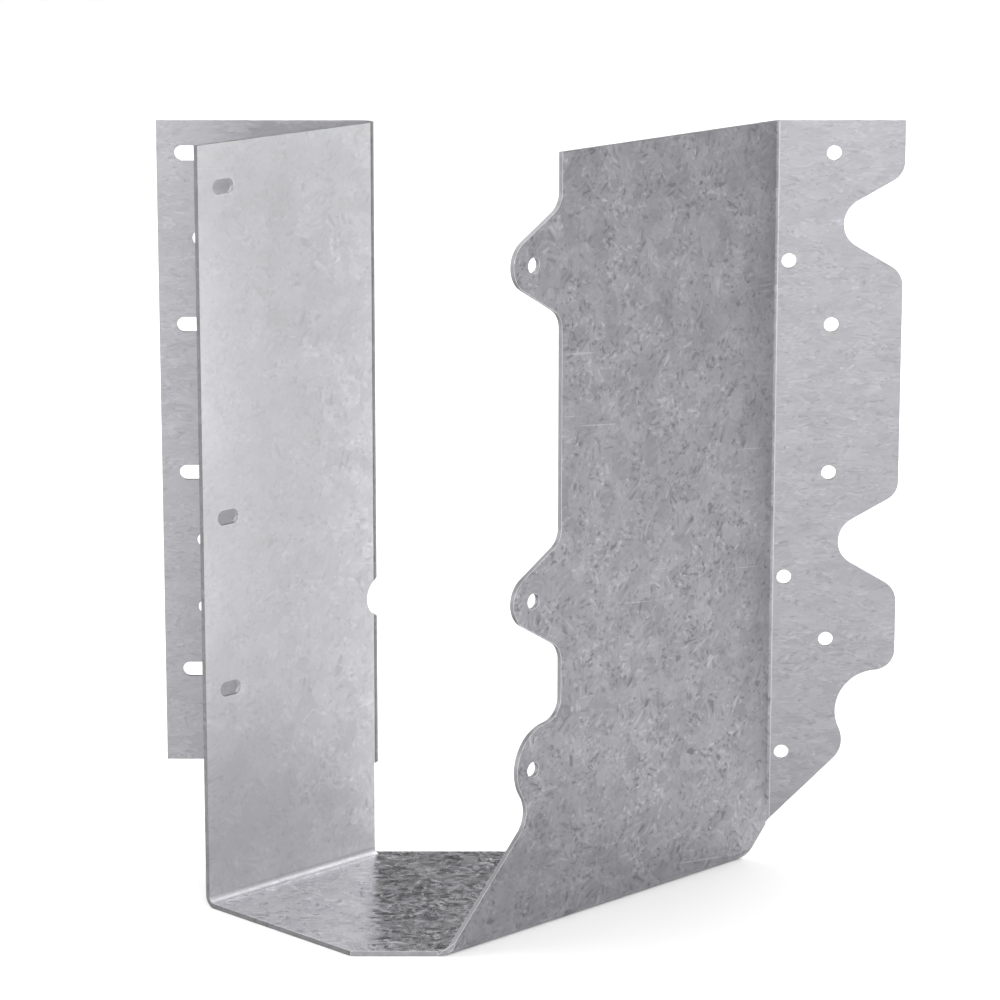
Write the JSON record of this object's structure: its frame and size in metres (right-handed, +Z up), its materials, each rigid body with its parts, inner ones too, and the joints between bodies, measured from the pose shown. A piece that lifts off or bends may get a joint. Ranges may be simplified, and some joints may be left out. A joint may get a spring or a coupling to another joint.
{
  "type": "skewed joist hanger",
  "caption": "Face-mount joist hanger folded from one galvanised sheet, with its seat and side walls set at 45 degrees to flanges that nail flat to the header.",
  "frame": {"origin": "on the seat's underside, on the joist's centreline, midway between the seat's front and rear ends", "axes": "+X to the right along the header's face, +Y square into the header, +Z up; the joist comes in at 45 degrees, running towards -X and -Y from the header"},
  "size_m": [0.2175, 0.0948, 0.2222],
  "materials": {
    "galvanised_steel": "hot-dip galvanised, with a fine leafy spangle"
  },
  "bodies": {
    "root": {"hanger": "galvanised_steel"}
  },
  "joints": []
}
